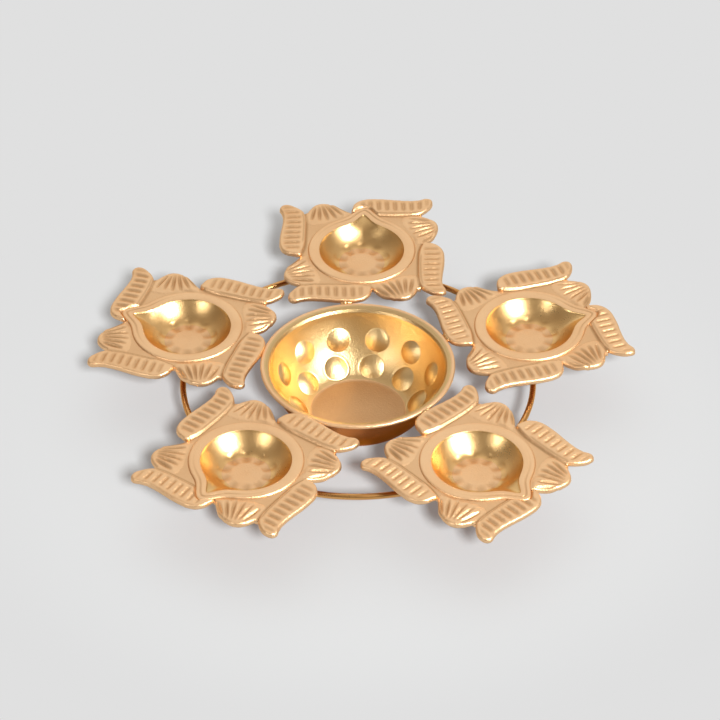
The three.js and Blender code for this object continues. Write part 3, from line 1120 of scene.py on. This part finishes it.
@dataclass(frozen=True)
class DishRing:
    """The five dishes round the bowl: their height and how each one is turned."""

    height: float = 37.5
    headings: tuple[float, ...] = (0.2, 71.7, 145.2, 223.8, 287.9)
    nudges: tuple[Point, ...] = ((0.5, 0.6), (1.4, -0.6), (1.0, 1.3), (0.9, -0.7), (-0.9, 0.1))
    leans: tuple[float, ...] = (0.5, -0.5, 0.6, -0.5, 0.5)

    def build(self, dish: LampDish, finishes: Finishes) -> None:
        """Places the dishes over their CAD nodes.

        Args:
            dish: The dish that is pressed.
            finishes: The urli's finishes.
        """
        mounts = {mount["name"]: mount for mount in frame["record"]["mounts"]}
        mesh = dish.mesh(finishes)
        settings = zip(self.headings, self.nudges, self.leans)
        for number, (heading, nudge, lean) in enumerate(settings, start=1):
            x, y, _ = mounts[f"cup_floor_{number}"]["pos_m"]
            outward = Vector((x, y, 0.0))
            tilt = Matrix.Rotation(math.radians(lean), 4, outward.cross(Vector((0.0, 0.0, 1.0))))
            seat = Vector((x + nudge[0] * MM, y + nudge[1] * MM, self.height * MM))
            place = Matrix.Translation(seat) @ tilt @ Matrix.Rotation(math.radians(heading), 4, "Z")
            placed(f"lamp_dish_{number}", mesh, f"diya_{number}", place)


# The bowl


@dataclass(frozen=True)
class BumpRow:
    """One row of round bumps raised inside the bowl."""

    count: int
    height: float
    start: float


@dataclass(frozen=True)
class Bowl:
    """The spun bowl: flat foot, rounded wall with two rows of bumps, and a rolled lip."""

    inner_wall: tuple[Point, ...] = (
        (27.4, 2.0), (30.5, 3.6), (34.4, 6.8), (38.3, 11.0), (41.7, 15.8), (44.4, 20.7), (46.7, 25.7),
        (48.5, 30.5), (49.4, 34.0),
    )
    outer_wall: tuple[Point, ...] = (
        (51.7, 33.6), (50.3, 30.0), (48.4, 25.4), (46.1, 20.6), (43.4, 15.9), (40.1, 11.0), (36.4, 6.6),
        (32.6, 3.1), (29.4, 1.1),
    )
    bump_width: float = 13.9
    bump_rise: float = 2.0
    rows: tuple[BumpRow, ...] = (BumpRow(12, 19.2, 15.0), BumpRow(10, 6.6, 21.8))
    rim_depth: float = 0.16
    rim_place: float = 1.07
    rim_width: float = 0.08
    # Painted shade: under the lip's inner edge, lightly on the wall, darker on the bowl's floor and under
    # the foot.
    lip_shade: float = 0.6
    wall_shade: float = 0.15
    floor_shade: float = 0.75
    foot_shade: float = 0.5
    inner_steps: int = 14
    outer_steps: int = 6
    sides: int = 480

    def build(self, finishes: Finishes) -> None:
        """Builds the bowl over its CAD node.

        Args:
            finishes: The urli's finishes.
        """
        shell = self._inside().joined(self._outside())
        mesh = shell.mesh("spun_bowl")
        for finish in (finishes.satin, finishes.bowl, finishes.copper_and_shade):
            mesh.materials.append(finish.material())
        placed("spun_bowl", mesh, "bowl")

    def _ring(self, radius: np.ndarray, height: np.ndarray) -> np.ndarray:
        """Gives a ring of points with a radius and height at each bearing."""
        angle = np.linspace(0.0, 2 * math.pi, self.sides, endpoint=False)
        return np.column_stack([radius * np.cos(angle), radius * np.sin(angle), height])

    def _bump_lift(self, along: float, radius: float, rows: Sequence[tuple[float, BumpRow]]) -> np.ndarray:
        """Gives how far the bumps raise the wall at one height.

        Args:
            along: Distance along the wall.
            radius: The wall's radius there.
            rows: Each row of bumps, with its middle's distance along the wall.

        Returns:
            The lift at each bearing.
        """
        bearing = 90.0 - np.linspace(0.0, 360.0, self.sides, endpoint=False)
        lift = np.zeros(self.sides)
        half = self.bump_width / 2
        for middle, row in rows:
            pitch = 360.0 / row.count
            aside = radius * np.radians((bearing + row.start + pitch / 2) % pitch - pitch / 2)
            spread = np.hypot(aside, along - middle) / half
            dome = self.bump_rise * np.clip(1.0 - spread**2, 0.0, None)
            lip = -self.rim_depth * bell(spread - self.rim_place, self.rim_width)
            lift = np.maximum(lift, dome) + lip
        return lift

    def _inside(self) -> Shell:
        """Builds the lip, the bumped wall and the floor.

        Returns:
            The skin that faces up and inwards.
        """
        satin = [(54.95, 34.9), (55.0, 35.5), (54.85, 36.0), (54.5, 36.35), (54.0, 36.5), (53.4, 36.44)]
        crest = [(52.8, 36.22), (52.2, 35.93)]
        fall = [(51.6, 35.66), (51.15, 35.5), (50.8, 35.42), (50.5, 35.27), (50.25, 34.98), (50.05, 34.6)]
        lip = [*satin, *crest, *fall]
        floor = [(26.8, 1.72), (26.2, 1.55), (25.2, 1.5), (22.0, 1.47), (16.0, 1.4), (8.0, 1.36)]
        floor.append((2.0, 1.34))
        wall = open_curve(self.inner_wall[::-1], self.inner_steps)
        slope = np.gradient(wall, axis=0)
        slope /= np.hypot(*slope.T)[:, None]
        along = np.concatenate([[0.0], np.cumsum(np.hypot(*np.diff(wall, axis=0).T))])
        middles = [(float(np.interp(-row.height, -wall[:, 1], along)), row) for row in self.rows]
        flat = np.zeros(self.sides)
        rings = [self._ring(flat + r, flat + z) for r, z in lip]
        kinds = [Surface.SATIN] * len(satin) + [Surface.POLISHED] * (len(lip) - len(satin) - 1)
        shade_amounts = [flat] * len(satin + crest) + [flat + self.lip_shade] * len(fall)
        for (r, z), (dr, dz), s in zip(wall, slope, along):
            lift = self._bump_lift(s, r, middles)
            rings.append(self._ring(r + lift * dz, z - lift * dr))
            shade_amounts.append(flat + self.wall_shade)
            kinds.append(Surface.POLISHED)
        for r, z in floor:
            rings.append(self._ring(flat + r, flat + z))
            shade_amounts.append(flat + self.floor_shade)
            kinds.append(Surface.SATIN)
        return lofted(rings, kinds, shade_amounts)

    def _outside(self) -> Shell:
        """Builds the under side of the lip, the outer wall and the foot.

        Returns:
            The skin that faces out and down.
        """
        knots = [(54.95, 34.9), (54.6, 34.5), (53.8, 34.3), (52.6, 34.25), (51.95, 34.1)]
        wall = open_curve(self.outer_wall, self.outer_steps)
        foot = [(28.5, 0.55), (27.9, 0.12), (27.2, 0.0), (25.0, 0.0), (12.0, 0.0), (2.0, 0.0)]
        profile = np.vstack([knots, wall, foot])
        flat = np.zeros(self.sides)
        rings = [self._ring(flat + r, flat + z) for r, z in profile]
        shade_amounts = [flat] * len([*knots, *wall]) + [flat + self.foot_shade] * len(foot)
        shell = lofted(rings, [Surface.UNDERSIDE] * (len(rings) - 1), shade_amounts)
        shell.faces = [face[::-1] for face in shell.faces]
        return shell


# The wire ring and the welds


@dataclass(frozen=True)
class WireRing:
    """The wire ring that carries the cups."""

    radius: float = 99.0
    wire: float = 3.4
    bends: tuple[Triple, ...] = ((3.0, 0.12, 0.6), (7.0, 0.08, 2.1))
    around: int = 360
    section: int = 20

    def build(self, finishes: Finishes) -> None:
        """Bends the wire over its CAD node, a little unevenly as by hand.

        Args:
            finishes: The urli's finishes.
        """
        low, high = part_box("ring")
        middle = (low.z + high.z) / 2 / MM
        turn = np.linspace(0.0, 2 * math.pi, self.around, endpoint=False)
        uneven = sum(size * np.sin(count * turn + start) for count, size, start in self.bends)
        angle = np.linspace(0.0, 2 * math.pi, self.section, endpoint=False)
        reach = (self.radius + uneven)[:, None] + self.wire / 2 * np.cos(angle)
        height = np.broadcast_to(middle + self.wire / 2 * np.sin(angle), reach.shape)
        cosine, sine = np.cos(turn)[:, None], np.sin(turn)[:, None]
        points = np.stack([reach * cosine, reach * sine, height], axis=2)
        index = np.arange(self.around * self.section).reshape(self.around, self.section)
        ahead, over = np.roll(index, -1, axis=0), np.roll(index, -1, axis=1)
        both = np.roll(ahead, -1, axis=1)
        quads = np.stack([index, ahead, both, over], axis=2).reshape(-1, 4)
        faces = [tuple(row) for row in quads.tolist()]
        shell = Shell(points.reshape(-1, 3), faces, [Surface.SATIN] * len(faces), np.zeros(index.size))
        mesh = shell.mesh("wire_ring")
        mesh.materials.append(finishes.wire.material())
        placed("wire_ring", mesh, "ring")


@dataclass(frozen=True)
class WeldBead:
    """A lump of weld metal, wavy like a run of small pools."""

    ripple: float = 0.08
    pools: int = 3
    taper: float = 0.8
    # Mixed evenly into the bead's colour through the painted shade, darkening the whole bead a little.
    shade: float = 0.1
    rings: int = 25
    sides: int = 40

    def build(self, node: str, name: str, finishes: Finishes) -> None:
        """Builds the bead in the box of its CAD node.

        Args:
            node: The CAD node that it stands for.
            name: The piece's name.
            finishes: The urli's finishes.
        """
        source = np.array([tuple(v.co) for v in frame["nodes"][node].data.vertices])
        middle = source.mean(axis=0)
        spread = source - middle
        spread[:, 2] = 0.0
        _, _, axes = np.linalg.svd(spread, full_matrices=False)
        along = axes[0] / np.linalg.norm(axes[0])
        across = np.array([-along[1], along[0], 0.0])
        up = np.array([0.0, 0.0, 1.0])
        frame_axes = np.array([along, across, up])
        reach = (source - middle) @ frame_axes.T
        low, high = reach.min(axis=0), reach.max(axis=0)
        centre, half = (low + high) / 2, (high - low) / 2
        latitude = np.linspace(0.0, math.pi, self.rings)[1:-1]
        longitude = np.linspace(0.0, 2 * math.pi, self.sides, endpoint=False)
        rings = []
        for angle in latitude:
            x = math.cos(angle)
            pool = 1.0 + self.ripple * math.cos(2 * math.pi * self.pools * (x + 1.0) / 2.0)
            wide = math.sin(angle) ** self.taper * pool / (1.0 + self.ripple)
            ends = np.full(self.sides, x)
            local = np.column_stack([ends, wide * np.cos(longitude), wide * np.sin(longitude)])
            rings.append(((local * half + centre) @ frame_axes + middle) / MM)
        flat = np.full(self.sides, self.shade)
        shell = lofted(rings, [Surface.SATIN] * (len(rings) - 1), [flat] * len(rings))
        first = len(shell.points)
        shell.points = np.vstack([shell.points, rings[0].mean(axis=0, keepdims=True)])
        shell.painted_shade = np.append(shell.painted_shade, self.shade)
        for j in range(self.sides):
            shell.faces.append(((j + 1) % self.sides, j, first))
            shell.surfaces.append(Surface.SATIN)
        mesh = shell.mesh(name)
        mesh.materials.append(finishes.weld.material())
        placed(name, mesh, node)


# The studio


@dataclass(frozen=True)
class Softbox:
    """A soft lamp, aimed at the urli."""

    name: str
    place: Triple
    size: Point
    watts: float
    aim: Triple = (0.0, 0.0, 0.03)

    def build(self, lit: Sequence[bpy.types.Object]) -> None:
        """Hangs the lamp.

        Args:
            lit: The objects that it lights.
        """
        data = bpy.data.lights.new(self.name, "AREA")
        data.shape = "RECTANGLE"
        data.size, data.size_y = self.size
        data.energy = self.watts
        lamp = linked(self.name, data)
        lamp.location = self.place
        beam = Vector(self.aim) - Vector(self.place)
        lamp.rotation_euler = beam.to_track_quat("-Z", "Y").to_euler()
        receivers = bpy.data.collections.new(f"lit_by_{self.name}")
        for obj in lit:
            receivers.objects.link(obj)
        lamp.light_linking.receiver_collection = receivers


@dataclass(frozen=True)
class Studio:
    """Pale paper, three soft lamps and the camera at the photograph's angle."""

    paper: float = 0.745
    paper_half: float = 6.0
    paper_gap: float = 0.0002
    room_colour: Triple = (1.0, 0.82, 0.64)
    room_strength: Point = (0.20, 0.98)
    bright_side: Triple = (0.0, 0.80, 0.60)
    bright_edge: float = 0.15
    bright_power: float = 1.6
    shade: Triple = (0.540, 0.560, 0.575)
    shadow_share: float = 0.8
    shadow_reach: Point = (0.155, 0.26)
    elevation: float = 39.5
    distance: float = 1.75
    lens: float = 155.2
    aim: Triple = (0.0, 0.0, 0.0365)
    shift: Point = (0.0031, 0.0046)
    lamps: tuple[Softbox, ...] = (
        Softbox("right_box", (0.74, -0.62, 0.83), (0.40, 0.60), 26.0),
        Softbox("left_box", (-0.82, -0.74, 0.70), (0.24, 0.40), 3.2),
    )
    floor_lamp: Softbox = Softbox("floor_box", (0.92, -4.88, 4.10), (0.84, 0.84), 640.0)

    def build(self) -> None:
        """Builds the floor, the lamps, the world and the camera."""
        pieces = [obj for obj in bpy.context.scene.objects if obj.type == "MESH"]
        floor = self._floor()
        for lamp in self.lamps:
            lamp.build(pieces)
        self.floor_lamp.build([floor])
        self._world()
        self._camera()

    def _floor(self) -> bpy.types.Object:
        """Lays the pale paper that the urli stands on.

        Returns:
            The paper.
        """
        half = self.paper_half
        mesh = bpy.data.meshes.new("paper")
        corners = [(-half, -half, 0), (half, -half, 0), (half, half, 0), (-half, half, 0)]
        mesh.from_pydata(corners, [], [(0, 1, 2, 3)])
        floor = linked("paper", mesh)
        floor.location.z = -self.paper_gap
        material = bpy.data.materials.new("paper")
        material.use_nodes = True
        nodes = material.node_tree.nodes
        graph = Graph(material.node_tree)
        matt = {"Roughness": 0.9, "Specular IOR Level": 0.1, "Base Color": (*self.shade, 1.0)}
        graph.feed(nodes["Principled BSDF"], matt)
        plain = graph.add("Emission", "Emission", {"Color": (self.paper, self.paper, self.paper, 1.0)})
        place = graph.add("NewGeometry", "Position")
        away = graph.add("VectorMath", "Value", {0: place}, operation="LENGTH")
        near, far = self.shadow_reach
        fade = {"Value": away, "From Min": near, "From Max": far, "To Min": 1.0 - self.shadow_share}
        evened = graph.add("MapRange", "Result", fade, interpolation_type="SMOOTHSTEP")
        camera, glossy = (graph.add("LightPath", f"Is {ray} Ray") for ray in ("Camera", "Glossy"))
        either = graph.add("Math", "Value", {0: camera, 1: glossy}, operation="MAXIMUM")
        seen = graph.add("Math", "Value", {0: either, 1: evened}, operation="MULTIPLY")
        parts = {"Fac": seen, 1: nodes["Principled BSDF"].outputs["BSDF"], 2: plain}
        graph.feed(nodes["Material Output"], {"Surface": graph.add("MixShader", "Shader", parts)})
        mesh.materials.append(material)
        floor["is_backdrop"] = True
        return floor

    def _world(self) -> None:
        """Sets the studio's room: bright over the backdrop, dim behind the camera."""
        world = bpy.data.worlds.new("studio")
        bpy.context.scene.world = world
        world.use_nodes = True
        graph = Graph(world.node_tree)
        ways = {0: graph.add("TexCoord", "Generated"), 1: self.bright_side}
        toward = graph.add("VectorMath", "Value", ways, operation="DOT_PRODUCT")
        share = graph.add("MapRange", "Result", {"Value": toward, "From Min": self.bright_edge})
        steep = graph.add("Math", "Value", {0: share, 1: self.bright_power}, operation="POWER")
        dim, bright = self.room_strength
        spread = graph.add("MapRange", "Result", {"Value": steep, "To Min": dim, "To Max": bright})
        camera = graph.add("LightPath", "Is Camera Ray")
        levels = {"Factor": camera, "A": spread, "B": self.paper}
        strength = graph.add("Mix", "Result", levels, data_type="FLOAT")
        white = graph.add("Math", "Value", {0: steep, 1: camera}, operation="MAXIMUM")
        colours = {"Factor": white, "A": (*self.room_colour, 1.0), "B": (1.0, 1.0, 1.0, 1.0)}
        tint = graph.add("Mix", "Result", colours, data_type="RGBA")
        graph.feed(world.node_tree.nodes["Background"], {"Strength": strength, "Color": tint})

    def _camera(self) -> None:
        """Sets up the camera."""
        data = bpy.data.cameras.new("camera")
        data.lens = self.lens
        data.sensor_width = 36.0
        data.shift_x, data.shift_y = self.shift
        camera = linked("camera", data)
        tilt = math.radians(self.elevation)
        back = Vector((0.0, -math.cos(tilt), math.sin(tilt)))
        camera.location = Vector(self.aim) + back * self.distance
        camera.rotation_euler = (-back).to_track_quat("-Z", "Y").to_euler()
        data.clip_start, data.clip_end = 0.05, 30.0
        bpy.context.scene.camera = camera


def write_sizes() -> None:
    """Gathers the CAD box and the dressed model's box."""
    boxes = {"cad": CAD_BOX, "visual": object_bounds()}
    plain = {name: [list(corner) for corner in box] for name, box in boxes.items()}


def main() -> None:
    """Builds the urli piece by piece, then the studio round it."""
    logging.basicConfig(level=logging.INFO, format="%(name)s: %(message)s")
    finishes = Finishes()
    Bowl().build(finishes)
    dishes = DishRing()
    dishes.build(LampDish(), finishes)
    WireRing().build(finishes)
    for number in range(1, len(dishes.headings) + 1):
        WeldBead().build(f"rim_weld_{number}", f"rim_bead_{number}", finishes)
        WeldBead().build(f"ring_weld_{number}", f"ring_bead_{number}", finishes)
    Studio().build()
    bpy.context.scene.view_settings.view_transform = "Standard"
    write_sizes()


if __name__ == "__main__":
    main()
